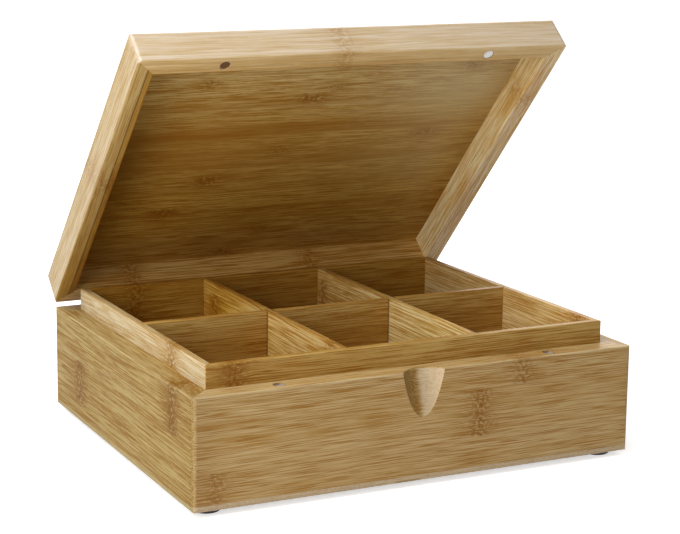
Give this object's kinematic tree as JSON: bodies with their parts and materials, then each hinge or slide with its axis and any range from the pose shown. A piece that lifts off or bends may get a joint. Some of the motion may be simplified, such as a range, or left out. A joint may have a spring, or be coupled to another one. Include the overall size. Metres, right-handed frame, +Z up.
{
  "type": "tea bag organizer box",
  "caption": "Hinged bamboo tea box with mitred walls, a raised liner tray, cross-lapped dividers, a finger notch, magnet catches and rubber feet.",
  "frame": {"origin": "on the table plane, under the middle of the whole outline with the lid standing open", "axes": "+X from left to right seen from the front, +Y from the front to the hinged back, +Z up"},
  "size_m": [0.24, 0.2098, 0.2158],
  "materials": {
    "case_bamboo": "satin lacquered bamboo",
    "tray_bamboo": "satin lacquered bamboo",
    "foot_rubber": "matt black rubber",
    "magnet_nickel": "polished nickel plate",
    "hinge_steel": "satin plated steel"
  },
  "bodies": {
    "base": {"front_wall": "case_bamboo", "back_wall": "case_bamboo", "left_wall": "case_bamboo", "right_wall": "case_bamboo", "bottom_panel": "tray_bamboo", "front_liner": "tray_bamboo", "back_liner": "tray_bamboo", "left_liner": "tray_bamboo", "right_liner": "tray_bamboo", "long_divider": "tray_bamboo", "left_cross_divider": "tray_bamboo", "right_cross_divider": "tray_bamboo", "front_left_foot": "foot_rubber", "front_right_foot": "foot_rubber", "back_left_foot": "foot_rubber", "back_right_foot": "foot_rubber", "base_left_magnet": "magnet_nickel", "base_right_magnet": "magnet_nickel", "left_hinge_base_leaf": "hinge_steel", "right_hinge_base_leaf": "hinge_steel", "left_hinge_pin": "hinge_steel", "right_hinge_pin": "hinge_steel", "base_screws": "hinge_steel"},
    "lid": {"lid_front_rail": "case_bamboo", "lid_back_rail": "case_bamboo", "lid_left_rail": "case_bamboo", "lid_right_rail": "case_bamboo", "lid_panel": "case_bamboo", "lid_left_magnet": "magnet_nickel", "lid_right_magnet": "magnet_nickel", "left_hinge_lid_leaf": "hinge_steel", "right_hinge_lid_leaf": "hinge_steel", "lid_screws": "hinge_steel"}
  },
  "joints": [
    {"name": "lid_hinge", "type": "hinge", "parent": "base", "child": "lid", "pos_m": [0, 0.0932, 0.05765], "axis": [-1, 0, 0], "range_deg": [-47.6, 132.4]}
  ]
}
